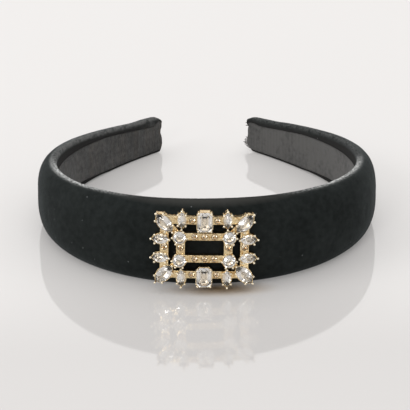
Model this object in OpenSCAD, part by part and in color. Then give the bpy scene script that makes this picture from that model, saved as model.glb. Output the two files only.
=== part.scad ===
// Padded velvet headband with a ribbon lining and a stone-set buckle, lying on its lower edge.
// X runs across the head from the wearer's side to side, Y from the buckle back to the tips,
// Z up from the surface that the band lies on. Millimetres.

/* [Band] */
// Length along the inner face, from one tip to the other
band_length = 395; // [380:1:410]
// Radius of the inner face at the front centre
front_radius = 68; // [64:0.5:74]
// Width of the band at the front centre
front_width = 36.6; // [34:0.1:40]
// Width of the band at the tips
tip_width = 15; // [14:0.2:20]
// How far the padding stands out from the inner line at the front
front_padding = 8.3; // [6:0.1:10]
// How far the padding stands out from the inner line at the tips
tip_padding = 4.6; // [3:0.1:6]
// How far the velvet turned over the edge stands in from the inner line
turnover = 1.3; // [1.2:0.1:2]
// Radius of the turned edge on the inside, where the width leaves room for it
edge_radius = 3; // [1:0.1:4]
// How far the middle of a tip is drawn in behind its corners
tip_notch = 1; // [0:0.1:2]
// How far the velvet folded at a tip lifts its upper corner
tip_fold = 0.9; // [0:0.1:1.5]

/* [Lining] */
// Width of the lining ribbon, where the band leaves room for it
ribbon_width = 16; // [12:0.5:18]
// Thickness of the lining ribbon
ribbon_thickness = 1; // [0.8:0.1:1.1]
// Least width of velvet left showing below the ribbon
lower_margin = 0.8; // [0.7:0.1:1.5]
// Least width of velvet left showing above the ribbon
upper_margin = 3.1; // [2:0.1:3.4]

/* [Buckle] */
// Width of the outer frame between the middles of its bars
outer_frame_width = 31.8; // [31.5:0.1:32.5]
// Height of the outer frame between the middles of its bars
outer_frame_height = 22.9; // [22.7:0.1:23.4]
// Width of the inner frame between the middles of its bars
inner_frame_width = 18.8; // [18.6:0.1:19.2]
// Height of the inner frame between the middles of its bars
inner_frame_height = 9.4; // [9.3:0.1:9.8]
// Width of the long bars
bar_width = 3; // [3:0.1:3.2]
// Width of the upright bars
upright_bar_width = 3.5; // [3.3:0.1:3.6]
// Depth of the bars
bar_depth = 3; // [2.8:0.1:3.2]
// Radius of the curve that follows the band, at the back of the bars
buckle_bend = 95; // [85:1:150]
// Height of the buckle's middle above the surface
buckle_height = 19.4; // [19:0.1:20]
// How far the buckle's middle lies to one side of the band's
buckle_offset = -2; // [-2.5:0.1:2.5]
// How far the buckle leans back, in degrees
buckle_lean = 6; // [4:0.5:7]
// How far the buckle is turned in its own plane, in degrees
buckle_turn = 1.5; // [0:0.1:2]
// Gap between the velvet and the back of the bars at the buckle's middle
buckle_gap = 0.4; // [0.3:0.1:1]
// Diameter of the hidden posts behind the buckle
post_diameter = 1.6; // [1.2:0.1:2]
// Length of the hidden posts behind the bars
post_length = 4.5; // [3:0.5:5]

/* [Stones] */
// Gap between a stone and the metal that holds it
stone_gap = 0.12; // [0.1:0.01:0.15]
// Wall of a stone's cup outside the stone
cup_wall = 0.3; // [0.25:0.05:0.4]
// Radius of a claw's stem
claw_radius = 0.3; // [0.28:0.01:0.35]
// Thickness of a cut stone's girdle
girdle_thickness = 0.24; // [0.2:0.02:0.3]

/* [Hidden] */
$fn = 48;

// The half band in sections from the front centre to a tip. Columns: place as a share of the half
// length, radius of the inner line, width as a share of the way from tip to front width, padding
// as a share of the way from tip to front padding, and squareness of the padded side, which is 0
// for a plain half ellipse.
PLACE = 0;
RADIUS = 1;
WIDTH = 2;
PADDING = 3;
SQUARE = 4;
band_sections = [
    [0.00, front_radius, 1.00, 1.00, 0.05],
    [0.23, 64, 0.88, 0.85, 0.10],
    [0.45, 65, 0.68, 0.72, 0.25],
    [0.65, 82, 0.46, 0.47, 0.20],
    [0.83, 145, 0.21, 0.23, 0.10],
    [1.00, 310, 0.00, 0.00, 0.10]
];
half_length = band_length / 2;
// How many rings the even part of a half has, and how many close in on the tip
even_rings = 32;
tip_rings = 5;
// How far before the tip the rings close in, and the thickness left at the tip itself
tip_reach = 6;
tip_close = 0.62;
// How far a section's width and thickness are evened out along the band
blend_reach = 16;
// How many steps the padded side of a ring has
dome_steps = 12;
// How many steps a turned edge has
edge_steps = 3;

// Gap between the ribbon and the velvet behind it, and beside it
ribbon_bed = 0.1;
ribbon_side = 0.3;

// A value of the section table at a place on the band, by straight steps between its rows
function section_value(at, column) =
    lookup(at, [for (row = band_sections) [row[PLACE], row[column]]]);
// The same value evened out over a stretch of the band, so that no step shows
function even_value(s, column) =
    let (offsets = [-2, -1, 0, 1, 2])
    [for (k = offsets) section_value(abs(s + k * blend_reach / 2) / half_length, column)]
    * [for (k = offsets) 1 / len(offsets)];
function bend(s) =
    lookup(s / half_length, [for (row = band_sections) [row[PLACE], 1 / row[RADIUS]]]);

// The inner line from the front centre to past the tip. Columns: x, y and heading in degrees.
line_step = 1;
inner_line = [
    for (s = 0, x = 0, y = 0, heading = 0;
         s <= half_length + 2 * line_step;
         heading_next = heading + (bend(s) + bend(s + line_step)) / 2 * line_step * 180 / PI,
         x = x + cos((heading + heading_next) / 2) * line_step,
         y = y + sin((heading + heading_next) / 2) * line_step,
         heading = heading_next,
         s = s + line_step)
    [x, y, heading]
];
function line_at(s) =
    let (i = floor(s / line_step), part = s / line_step - i)
    inner_line[i] * (1 - part) + inner_line[i + 1] * part;

tip_depth = line_at(half_length)[1];
// The band lies on its lower edge, so its middle line slopes and every section leans back
band_lean = atan((front_width - tip_width) / 2 / tip_depth);

// How close a place is to the tip, from 0 before the rings close in to 1 at the tip
function tip_share(s) = max(0, s - half_length + tip_reach) / tip_reach;
// How far before the tip the fold starts to rise, the stretch that it rises over, and how much
// narrower the tip's very end is
fold_reach = 14;
fold_run = 9;
tip_narrowing = 1.2;
function fold_at(s) =
    let (share = min(1, max(0, s - half_length + fold_reach) / fold_run))
    tip_fold * share * share * (3 - 2 * share);
function width_at(s) =
    tip_width + (front_width - tip_width) * even_value(s, WIDTH) + fold_at(s)
    - tip_narrowing * pow(tip_share(s), 4);
function padding_at(s) =
    (tip_padding + (front_padding - tip_padding) * even_value(s, PADDING))
    * (1 - (1 - tip_close) * pow(tip_share(s), 3));
function ribbon_at(s) =
    min(ribbon_width, width_at(s) - fold_at(s) - lower_margin - upper_margin);
function ribbon_middle_at(s) =
    (width_at(s) - fold_at(s) + lower_margin - upper_margin) / 2;

// A point of the band: along is measured on the inner line, out away from the head, up from the
// surface. The sections lean back, and a tip's middle is drawn in.
function band_point(s, out, up) =
    let (
        line = line_at(s),
        high = up / width_at(s) * 2 - 1,
        back = tip_notch * pow(tip_share(s), 2) * (1 - high * high),
        forward = [cos(line[2]), sin(line[2])],
        outward = [sin(line[2]), -cos(line[2])]
    )
    [
        line[0] + outward[0] * out - forward[0] * back,
        line[1] + outward[1] * out - forward[1] * back + up * tan(band_lean),
        up
    ];

// A share of a half ellipse's radius, made fuller where the padded side is squarer
function fuller(share, square) = sign(share) * pow(abs(share), 1 - square);
// A section of the velvet body as [out, up] pairs: the padded side from the top edge to the
// bottom edge, then the turned edges with the ribbon's bed between them
least_face = 0.2;
function body_section(s) =
    let (
        wide = width_at(s),
        square = even_value(s, SQUARE),
        bed_low = ribbon_middle_at(s) - ribbon_at(s) / 2 - ribbon_side,
        bed_high = ribbon_middle_at(s) + ribbon_at(s) / 2 + ribbon_side,
        low = min(edge_radius, bed_low - least_face),
        top = min(edge_radius, wide - bed_high - least_face)
    )
    concat(
        [for (i = [0:dome_steps])
            let (a = 180 * i / dome_steps)
            [padding_at(s) * fuller(sin(a), square), wide / 2 * (1 + fuller(cos(a), square))]],
        [for (i = [1:edge_steps])
            let (a = 90 * i / edge_steps)
            [-turnover * sin(a), low * (1 - cos(a))]],
        [[-turnover, bed_low], [0, bed_low], [0, bed_high], [-turnover, bed_high]],
        [for (i = [0:edge_steps - 1])
            let (a = 90 * i / edge_steps)
            [-turnover * cos(a), wide - top * (1 - sin(a))]]
    );
// A section of the ribbon as [out, up] pairs
function ribbon_section(s) =
    let (
        low = ribbon_middle_at(s) - ribbon_at(s) / 2,
        high = ribbon_middle_at(s) + ribbon_at(s) / 2,
        face = -ribbon_bed - ribbon_thickness
    )
    [[-ribbon_bed, high], [-ribbon_bed, low], [face, low], [face, high]];

half_stations = concat(
    [for (i = [0:even_rings]) (half_length - tip_reach) * i / even_rings],
    [for (i = [1:tip_rings]) half_length - tip_reach * (1 - sin(90 * i / tip_rings))]
);
// Places of all rings from one tip to the other; those on the -X half are negative
stations = concat(
    [for (i = [len(half_stations) - 1:-1:1]) -half_stations[i]],
    half_stations
);

function ring(s, section) =
    [for (p = section)
        let (q = band_point(abs(s), p[0], p[1]))
        [s < 0 ? -q[0] : q[0], q[1], q[2]]];

body_rings = [for (s = stations) ring(s, body_section(abs(s)))];
ribbon_rings = [for (s = stations) ring(s, ribbon_section(abs(s)))];

// A solid through rings of equal length, closed by a flat face at either end
module swept(rings) {
    around = len(rings[0]);
    last = len(rings) - 1;
    polyhedron(
        points = [for (r = rings) each r],
        faces = concat(
            [[for (k = [0:around - 1]) k]],
            [[for (k = [around - 1:-1:0]) last * around + k]],
            [for (i = [0:last - 1]) for (k = [0:around - 1])
                let (next = (k + 1) % around)
                [i * around + next, i * around + k, (i + 1) * around + k]],
            [for (i = [0:last - 1]) for (k = [0:around - 1])
                let (next = (k + 1) % around)
                [i * around + next, (i + 1) * around + k, (i + 1) * around + next]]
        )
    );
}

// Heights above the back of the bars of the girdles of each cut
emerald_girdle = 3.7;
round_girdle = 3.5;
marquise_girdle = 3.3;
// Heights of the back of a cup and the floor of its pocket
cup_back = 0.35;
pocket_floor = 0.9;
// How far a cup's rim lies below the girdle, and reaches in under it
rim_drop = 0.3;
rim_reach = 0.05;
// A claw's bead: its radius, its height above the girdle, and how far outside the stone it lies
bead_radius = 0.5;
bead_height = 0.68;
bead_out = 0.36;
stem_out = claw_radius + stone_gap;

// The main stones. Columns: name, cut, place across, place up, turn in degrees, length and width
// of the stone. A round stone's length is its diameter. All of them lie a little below the
// middle of the frames.
NAME = 0;
CUT = 1;
ACROSS = 2;
UP = 3;
TURN = 4;
LENGTH = 5;
BREADTH = 6;
stone_drop = 0.7;
corner_across = 15.9;
corner_up = 10.85;
corner_turn = 47;
side_across = 17.4;
side_up = 3.95;
upright_across = 9;
upright_up = 12.3;
round_across = 9.8;
round_up = 4.92;
emerald_up = 11.7;
emerald_length = 8.1;
emerald_breadth = 6.1;
upright_length = 6.9;
upright_breadth = 3.7;
side_length = 6.9;
side_breadth = 4.2;
corner_length = 9.4;
corner_breadth = 5.4;
round_size = 5.3;
sides = [["left", -1], ["right", 1]];
levels = [["upper", 1], ["lower", -1]];
stones = concat(
    [for (v = levels)
        [str("emerald_", v[0]), "emerald", 0, v[1] * emerald_up - stone_drop, 90,
            emerald_length, emerald_breadth]],
    [for (v = levels) for (h = sides)
        [str("marquise_upright_", v[0], "_", h[0]), "marquise",
            h[1] * upright_across, v[1] * upright_up - stone_drop, 90,
            upright_length, upright_breadth]],
    [for (v = levels) for (h = sides)
        [str("marquise_side_", v[0], "_", h[0]), "marquise",
            h[1] * side_across, v[1] * side_up - stone_drop, 0, side_length, side_breadth]],
    [for (v = levels) for (h = sides)
        [str("marquise_corner_", v[0], "_", h[0]), "marquise",
            h[1] * corner_across, v[1] * corner_up - stone_drop, corner_turn * h[1] * v[1],
            corner_length, corner_breadth]],
    [for (v = levels) for (h = sides)
        [str("round_", v[0], "_", h[0]), "round",
            h[1] * round_across, v[1] * round_up - stone_drop, 0, round_size, round_size]]
);
function girdle_height(stone) =
    stone[CUT] == "emerald" ? emerald_girdle : stone[CUT] == "round" ? round_girdle
    : marquise_girdle;

// The small stones in the bars, for one quarter of the buckle. Columns: place across, place up,
// diameter. Those on a middle line are drawn once.
SMALL_SIZE = 2;
small_quarter = [
    [4.9, outer_frame_height / 2, 2.3],
    [0, inner_frame_height / 2, 2.3],
    [3.9, inner_frame_height / 2, 2.3],
    [inner_frame_width / 2, 0, 2.5],
    [outer_frame_width / 2, 0, 2.5]
];
small_stones = [
    for (row = small_quarter)
        for (h = row[0] == 0 ? [1] : [-1, 1])
            for (v = row[1] == 0 ? [1] : [-1, 1])
                [h * row[0], v * row[1], row[SMALL_SIZE]]
];
// How far a small stone's girdle lies below the bar's face, and how deep its seat is
small_sink = 0.1;
small_seat = 1.5;

// The buckle's middle, at the back of its bars
buckle_back = front_padding - buckle_height * tan(band_lean) + buckle_gap;
// The lowest beads on the lower emerald are the foremost things on the buckle
corner_cut = 1.3;
lowest_bead = emerald_up + stone_drop + (emerald_length - corner_cut) / 2 + bead_out * sin(45);
front_reach = buckle_back + (emerald_girdle + bead_height) * cos(buckle_lean)
    + lowest_bead * sin(buckle_lean) + bead_radius;
back_reach = max([for (r = body_rings) for (p = r) p[1]]);
middle_depth = (back_reach - front_reach) / 2;

// Brings the front centre of the inner line to its place ahead of the part's origin
module in_place() {
    translate([0, -middle_depth, 0]) children();
}
// Stands a buckle drawn round its own middle on the band
module at_buckle() {
    in_place()
        translate([buckle_offset, -buckle_back, buckle_height])
            rotate([-buckle_lean, 0, 0])
                rotate([0, buckle_turn, 0])
                    children();
}
// Carries what is drawn face up round the buckle's curve to a place on its back
module on_curve(across, up) {
    translate([0, buckle_bend, 0])
        rotate([0, 0, across / buckle_bend * 180 / PI])
            translate([0, -buckle_bend, up])
                rotate([90, 0, 0])
                    children();
}

// Outline of a marquise: two round flanks that meet in points on the X axis
module marquise(length, breadth, grow) {
    flank = (length * length + breadth * breadth) / (4 * breadth);
    intersection() {
        translate([0, breadth / 2 - flank]) circle(flank + grow);
        translate([0, flank - breadth / 2]) circle(flank + grow);
    }
}
// Outline of an oblong with its corners cut
module oblong(length, breadth, grow) {
    polygon(oblong_points(length + 2 * grow, breadth + 2 * grow));
}
function oblong_points(length, breadth) =
    let (x = length / 2, y = breadth / 2, c = corner_cut)
    [[x, c - y], [x, y - c], [x - c, y], [c - x, y], [-x, y - c], [-x, c - y], [c - x, -y],
        [x - c, -y]];
module outline(stone, grow) {
    if (stone[CUT] == "marquise") marquise(stone[LENGTH], stone[BREADTH], grow);
    else if (stone[CUT] == "round") circle(stone[LENGTH] / 2 + grow);
    else oblong(stone[LENGTH], stone[BREADTH], grow);
}

// Where a stone's claws stand on its girdle, as [x, y, direction outward in degrees]
round_claws = 6;
marquise_claw_share = 0.3;
function flank_claw(stone, h, v) =
    let (
        flank = (pow(stone[LENGTH], 2) + pow(stone[BREADTH], 2)) / (4 * stone[BREADTH]),
        x = stone[LENGTH] * marquise_claw_share,
        a = acos(x / flank)
    )
    [h * x, v * (flank * sin(a) - flank + stone[BREADTH] / 2), atan2(v * sin(a), h * cos(a))];
function claws(stone) =
    stone[CUT] == "marquise"
        ? concat(
            [for (h = [-1, 1]) [h * stone[LENGTH] / 2, 0, h > 0 ? 0 : 180]],
            [for (h = [-1, 1]) for (v = [-1, 1]) flank_claw(stone, h, v)])
    : stone[CUT] == "round"
        ? [for (i = [0:round_claws - 1])
            let (a = 360 * i / round_claws)
            [stone[LENGTH] / 2 * cos(a), stone[LENGTH] / 2 * sin(a), a]]
    : [for (h = [-1, 1]) for (v = [-1, 1])
        [h * (stone[LENGTH] / 2 - corner_cut / 2), v * (stone[BREADTH] / 2 - corner_cut / 2),
            atan2(v, h)]];

// Height of the back of the claws and of the webs between the frames
claw_back = 0.55;
module claw(girdle) {
    translate([stem_out, 0, claw_back])
        cylinder(r = claw_radius, h = girdle + bead_height - claw_back);
    translate([bead_out, 0, girdle + bead_height]) sphere(bead_radius);
}
module cup(stone) {
    girdle = girdle_height(stone);
    on_curve(stone[ACROSS], stone[UP])
        rotate([0, 0, stone[TURN]]) {
            translate([0, 0, cup_back])
                linear_extrude(girdle - girdle_thickness / 2 - rim_drop - cup_back)
                    outline(stone, cup_wall);
            for (c = claws(stone))
                translate([c[0], c[1], 0]) rotate([0, 0, c[2]]) claw(girdle);
        }
}
module pocket(stone) {
    on_curve(stone[ACROSS], stone[UP])
        rotate([0, 0, stone[TURN]])
            translate([0, 0, pocket_floor])
                linear_extrude(girdle_height(stone) - pocket_floor)
                    outline(stone, -rim_reach);
}

// A bar along the buckle's curve, between two places across
module long_bar(half_width, up) {
    sweep = 2 * half_width / buckle_bend * 180 / PI;
    translate([0, buckle_bend, 0])
        rotate([0, 0, -90 - sweep / 2])
            rotate_extrude(angle = sweep, $fn = 360)
                translate([buckle_bend, up - bar_width / 2])
                    square([bar_depth, bar_width]);
}
// An upright bar, a little shallower than the long ones that it meets
upright_inset = 0.15;
module upright_bar(across, half_height) {
    on_curve(across, 0)
        translate([-upright_bar_width / 2, -half_height, upright_inset])
            cube([upright_bar_width, 2 * half_height, bar_depth - 2 * upright_inset]);
}
module frame(width, height) {
    for (v = [-1, 1])
        long_bar(width / 2 + upright_bar_width / 2 - upright_inset, v * height / 2);
    for (h = [-1, 1]) upright_bar(h * width / 2, height / 2 + bar_width / 4);
}
// Webs that join the inner frame to the outer one behind the corner stones
web_width = 1.8;
web_depth = 1.4;
module web(h, v) {
    from = [inner_frame_width / 2, inner_frame_height / 2];
    to = [outer_frame_width / 2, outer_frame_height / 2];
    middle = (from + to) / 2;
    run = norm(to - from);
    on_curve(h * middle[0], v * middle[1])
        rotate([0, 0, h * v * atan2(to[1] - from[1], to[0] - from[0])])
            translate([-run / 2, -web_width / 2, claw_back])
                cube([run, web_width, web_depth]);
}
module at_posts() {
    for (h = [-1, 1])
        for (v = [-1, 1])
            on_curve(h * round_across, v * round_up)
                children();
}

// A cut stone through rings of points: table, crown, girdle, pavilion and keel. The facets meet
// between the girdle's corners part way up the crown and half way down the pavilion. The keel is
// a short edge along X, or a point where its length is 0.
crown_break = 0.62;
pavilion_break = 0.62;
function scaled(points, x, y, z) = [for (p = points) [p[0] * x, p[1] * y, z]];
function halfway(points) =
    [for (i = [0:len(points) - 1]) (points[i] + points[(i + 1) % len(points)]) / 2];
module cut(girdle, table, crown, break_share, pavilion, keel) {
    half = girdle_thickness / 2;
    between = halfway(girdle);
    rings = concat(
        scaled(girdle, table[0], table[1], half + crown),
        scaled(between, break_share, break_share, half + crown * crown_break),
        scaled(girdle, 1, 1, half),
        scaled(girdle, 1, 1, -half),
        scaled(between, pavilion_break, pavilion_break, -half - pavilion / 2),
        [for (end = [-1, 1]) [end * keel / 2, 0, -half - pavilion]]
    );
    hull() polyhedron(rings, [[for (i = [0:len(rings) - 1]) i]]);
}
// Sides of a marquise's flank, of a round stone and of a small stone
marquise_points = 6;
round_sides = 16;
small_sides = 8;
function marquise_girdle_points(stone) =
    let (
        flank = (pow(stone[LENGTH], 2) + pow(stone[BREADTH], 2)) / (4 * stone[BREADTH]),
        reach = asin(stone[LENGTH] / 2 / flank)
    )
    [for (side = [1, -1]) for (i = [0:marquise_points - 1])
        let (a = 90 - reach + 2 * reach * i / marquise_points)
        side * [flank * cos(a), flank * sin(a) - flank + stone[BREADTH] / 2]];
function round_points(diameter, count) =
    [for (i = [0:count - 1])
        let (a = 360 * (i + 0.5) / count)
        diameter / 2 * [cos(a), sin(a)]];
module main_stone(stone) {
    color("aliceblue", 0.6)
        at_buckle()
            on_curve(stone[ACROSS], stone[UP])
                translate([0, 0, girdle_height(stone)])
                    rotate([0, 0, stone[TURN]]) {
                        if (stone[CUT] == "marquise")
                            cut(marquise_girdle_points(stone), table = [0.52, 0.5], crown = 0.95,
                                break_share = 0.8, pavilion = 2, keel = stone[LENGTH] * 0.3);
                        else if (stone[CUT] == "round")
                            cut(round_points(stone[LENGTH], round_sides), table = [0.54, 0.54],
                                crown = 1.05, break_share = 0.79, pavilion = 2.3, keel = 0);
                        else
                            cut_emerald(stone);
                    }
}
// A step cut: each step of the crown and the pavilion is a smaller outline at its own height.
// Columns: how far the step lies inside the girdle all round, and its height above the girdle's
// lower edge.
INSET = 0;
HEIGHT = 1;
emerald_steps = [
    [2.9, -2.5],
    [1.6, -1.7],
    [0.65, -0.8],
    [0, 0],
    [0, girdle_thickness],
    [0.5, 0.6 + girdle_thickness],
    [1.1, 1.1 + girdle_thickness]
];
module cut_emerald(stone) {
    points = [
        for (step = emerald_steps)
            for (p = oblong_points(stone[LENGTH], stone[BREADTH]))
                let (
                    x = p[0] * (1 - 2 * step[INSET] / stone[LENGTH]),
                    y = p[1] * (1 - 2 * step[INSET] / stone[BREADTH])
                )
                [x, y, step[HEIGHT] - girdle_thickness / 2]
    ];
    hull() polyhedron(points, [[for (i = [0:len(points) - 1]) i]]);
}

module velvet_band() {
    color("#222525")
        difference() {
            in_place() swept(body_rings);
            at_buckle() at_posts()
                translate([0, 0, -post_length - 0.4])
                    cylinder(d = post_diameter + 0.4, h = post_length + 1);
        }
}
module ribbon_lining() {
    color("#4a4846")
        in_place() swept(ribbon_rings);
}
module buckle_frame() {
    color("#e3c98f")
        at_buckle()
            difference() {
                union() {
                    frame(outer_frame_width, outer_frame_height);
                    frame(inner_frame_width, inner_frame_height);
                    for (h = [-1, 1]) for (v = [-1, 1]) web(h, v);
                    for (s = stones) cup(s);
                    at_posts()
                        translate([0, 0, -post_length])
                            cylinder(d = post_diameter, h = post_length + bar_depth / 2);
                }
                for (s = stones) pocket(s);
                for (p = small_stones)
                    on_curve(p[0], p[1])
                        translate([0, 0, bar_depth - small_seat])
                            cylinder(d = p[SMALL_SIZE] + 2 * stone_gap, h = small_seat + 1);
            }
}
module pave_stones() {
    color("aliceblue", 0.6)
        at_buckle()
            for (p = small_stones)
                on_curve(p[0], p[1])
                    translate([0, 0, bar_depth - small_sink])
                        cut(round_points(p[SMALL_SIZE], small_sides), table = [0.56, 0.56],
                            crown = 0.42, break_share = 0.8, pavilion = 0.95, keel = 0);
}

velvet_band();
ribbon_lining();
buckle_frame();
pave_stones();
for (stone = stones)
    main_stone(stone);
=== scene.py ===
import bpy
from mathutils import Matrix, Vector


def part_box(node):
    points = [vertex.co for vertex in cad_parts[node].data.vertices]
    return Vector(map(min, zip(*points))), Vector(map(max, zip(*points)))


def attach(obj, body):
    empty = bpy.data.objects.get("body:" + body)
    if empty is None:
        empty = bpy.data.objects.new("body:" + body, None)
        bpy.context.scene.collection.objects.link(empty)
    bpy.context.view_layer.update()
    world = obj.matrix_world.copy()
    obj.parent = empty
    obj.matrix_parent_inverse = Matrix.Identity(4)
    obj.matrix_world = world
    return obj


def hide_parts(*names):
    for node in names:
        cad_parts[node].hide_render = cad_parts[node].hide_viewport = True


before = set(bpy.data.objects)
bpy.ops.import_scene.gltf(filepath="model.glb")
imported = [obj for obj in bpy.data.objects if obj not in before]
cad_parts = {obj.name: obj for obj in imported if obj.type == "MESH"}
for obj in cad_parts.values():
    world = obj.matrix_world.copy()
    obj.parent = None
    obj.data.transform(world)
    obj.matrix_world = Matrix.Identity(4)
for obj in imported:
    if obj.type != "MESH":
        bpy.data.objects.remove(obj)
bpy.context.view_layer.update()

import math

import bmesh
import bpy
import numpy as np
from mathutils import Matrix, Vector
from mathutils.bvhtree import BVHTree

# The camera looks down on the buckle through a long lens, from a little to the left of it.
# Angles are in degrees and lengths in metres.
CAMERA_AZIMUTH = -0.64
CAMERA_ELEVATION = 23.35
CAMERA_ROLL = -0.465
CAMERA_DISTANCE = 1.1893
CAMERA_LENS = 241.2
# What the camera stands round, and how far above and to the left of it the lens points
CAMERA_TARGET = Vector((0, -0.00076, 0))
AIM_UP = 0.274
AIM_LEFT = 0.042
scene = bpy.context.scene


def add_object(name, data):
    made = bpy.data.objects.new(name, data)
    scene.collection.objects.link(made)
    return made


azimuth = math.radians(CAMERA_AZIMUTH)
elevation = math.radians(CAMERA_ELEVATION)
towards_camera = Vector((
    math.sin(azimuth) * math.cos(elevation),
    -math.cos(azimuth) * math.cos(elevation),
    math.sin(elevation),
))
camera_data = bpy.data.cameras.new("camera")
camera_data.lens = CAMERA_LENS
camera_data.clip_start = 0.1
camera = add_object("camera", camera_data)
camera.matrix_world = (
    Matrix.Translation(CAMERA_TARGET + towards_camera * CAMERA_DISTANCE)
    @ towards_camera.to_track_quat("Z", "Y").to_matrix().to_4x4()
    @ Matrix.Rotation(math.radians(CAMERA_ROLL), 4, "Z")
    @ Matrix.Rotation(math.radians(AIM_UP), 4, "X")
    @ Matrix.Rotation(math.radians(AIM_LEFT), 4, "Y")
)
scene.camera = camera

# The stage: a glossy floor of white acrylic, faintly lit from below, in a light tent that is
# bright behind and overhead and darker on the camera's side. There is a soft lamp overhead, one
# on the left for the lining, and two small ones in front for the buckle.
FLOOR_SIZE = 6
FLOOR_COLOUR = (0.565, 0.55, 0.542, 1)
FLOOR_ROUGHNESS = 0.05
FLOOR_IOR = 1.5
# The floor glows less towards the camera than under the band
GLOW_COLOUR = (1, 0.985, 0.97, 1)
GLOW_IN_FRONT = 0.08
GLOW_BEHIND = 0.175
GLOW_FROM = -0.14
GLOW_TO = -0.06
# A painted shadow: where the buckle hangs over the floor, the floor's colour and glow are darkened
# below it and to the right, and warmed for the gold's reflected light
SHADE_PLACE = (0.0045, -0.0735, 0)
SHADE_REACH = (0.0265, 0.0098, 1)
SHADE_COLOUR = (0.6, 0.455, 0.29, 1)
TENT_COLOUR = (1, 0.99, 0.98, 1)
TENT_BEHIND = 1.25
TENT_IN_FRONT = 0.46
# Where the tent's light begins to rise and where it is full, from -1, the camera's side, to 1
TENT_FROM = -0.7
TENT_TO = 0.6
# Columns: name, place, what it points at, width, length, power in watts
LAMPS = [
    ("overhead_lamp", (0.1, -0.3, 1.4), (0, 0, 0), 0.8, 0.5, 1.6),
    ("left_lamp", (-1.3, -0.5, 0.8), (0, 0, 0), 0.7, 0.7, 5),
    ("front_lamp", (-0.55, -1.3, 0.8), (0, -0.07, 0.02), 0.25, 0.25, 2.2),
    ("low_lamp", (0.7, -1.2, 0.35), (0, -0.07, 0.02), 0.2, 0.3, 1),
]
scene.view_settings.view_transform = "Standard"


def add_node(tree, kind, inputs=None, **properties):
    """Adds a node, sets its properties, and links or fills in its inputs by name or place."""
    node = tree.nodes.new(kind)
    for name, value in properties.items():
        setattr(node, name, value)
    for name, value in (inputs or {}).items():
        if isinstance(value, bpy.types.NodeSocket):
            tree.links.new(value, node.inputs[name])
        else:
            node.inputs[name].default_value = value
    return node


def new_material(name, **sockets):
    """A material with one Principled shader, whose sockets are named in plain lower case."""
    material = bpy.data.materials.new(name)
    material.use_nodes = True
    shader = material.node_tree.nodes["Principled BSDF"]
    for socket, value in sockets.items():
        shader.inputs[socket.replace("_", " ").title().replace("Ior", "IOR")].default_value = value
    return material, material.node_tree, shader


def feed(shader, socket, value):
    shader.id_data.links.new(value, shader.inputs[socket])


def maths(tree, operation, *values):
    return add_node(tree, "ShaderNodeMath", dict(enumerate(values)), operation=operation).outputs[0]


def times(tree, product, *values):
    for value in values:
        product = maths(tree, "MULTIPLY", product, value)
    return product


def vector_maths(tree, operation, *values, output=0):
    inputs = dict(enumerate(values))
    if operation == "SCALE":
        inputs["Scale"] = inputs.pop(1)
    return add_node(tree, "ShaderNodeVectorMath", inputs, operation=operation).outputs[output]


def apart(tree, vector):
    return add_node(tree, "ShaderNodeSeparateXYZ", {0: vector}).outputs


def object_place(tree):
    return tree.nodes.new("ShaderNodeTexCoord").outputs["Object"]


def spread(tree, value, low, high, to_low=0, to_high=1, kind="LINEAR"):
    """Maps a value from one range to another, and holds it there."""
    return add_node(tree, "ShaderNodeMapRange", {
        "Value": value, "From Min": low, "From Max": high,
        "To Min": to_low, "To Max": to_high}, interpolation_type=kind).outputs[0]


def blend_colours(tree, share, low, high):
    return add_node(tree, "ShaderNodeMix", {0: share, 6: low, 7: high}, data_type="RGBA").outputs[2]


floor_material, tree, shader = new_material(
    "floor", roughness=FLOOR_ROUGHNESS, ior=FLOOR_IOR, emission_color=GLOW_COLOUR)
place = object_place(tree)
glow = spread(tree, apart(tree, place)["Y"], GLOW_FROM, GLOW_TO,
              GLOW_IN_FRONT, GLOW_BEHIND, kind="SMOOTHSTEP")
# The painted shadow: towards the middle of an ellipse the floor takes the shade's colour and its glow
# fades out
from_shade = vector_maths(tree, "SUBTRACT", place, SHADE_PLACE)
from_shade = vector_maths(tree, "DIVIDE", from_shade, SHADE_REACH)
from_shade = vector_maths(tree, "LENGTH", from_shade, output="Value")
out_of_shade = spread(tree, from_shade, 0, 1, kind="SMOOTHSTEP")
feed(shader, "Base Color", blend_colours(tree, out_of_shade, SHADE_COLOUR, FLOOR_COLOUR))
feed(shader, "Emission Strength", times(tree, glow, out_of_shade))
floor_mesh = bpy.data.meshes.new("floor")
half_floor = FLOOR_SIZE / 2
floor_mesh.from_pydata(
    [(-half_floor, -half_floor, 0), (half_floor, -half_floor, 0),
     (half_floor, half_floor, 0), (-half_floor, half_floor, 0)], [], [(0, 1, 2, 3)])
floor_mesh.materials.append(floor_material)
add_object("floor", floor_mesh)
world = bpy.data.worlds.new("light_tent")
world.use_nodes = True
tree = world.node_tree
tent_light = tree.nodes["Background"]
tent_light.inputs["Color"].default_value = TENT_COLOUR
backwards = apart(tree, tree.nodes.new("ShaderNodeTexCoord").outputs["Generated"])["Y"]
feed(tent_light, "Strength", spread(
    tree, backwards, TENT_FROM, TENT_TO, TENT_IN_FRONT, TENT_BEHIND))
scene.world = world
for name, place, target, width, length, power in LAMPS:
    lamp_data = bpy.data.lights.new(name, "AREA")
    lamp_data.shape = "RECTANGLE"
    lamp_data.size = width
    lamp_data.size_y = length
    lamp_data.energy = power
    lamp = add_object(name, lamp_data)
    lamp.location = place
    lamp.rotation_euler = (Vector(place) - Vector(target)).to_track_quat("Z", "Y").to_euler()

# The band: a springy arch, padded with foam and covered in black velvet that is turned over both
# edges and glued down inside. It narrows from the front to the tips, where the velvet is tucked in.
# Lengths are in millimetres until they go into a mesh.
MM = 0.001
BAND_LENGTH = 395
FRONT_WIDTH = 36.6
TIP_WIDTH = 15
FRONT_PADDING = 8.3
TIP_PADDING = 4.6
# How far the turned edges stand inside the inner line, and the radius they are turned to
TURNOVER = 1.3
EDGE_RADIUS = 3
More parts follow.
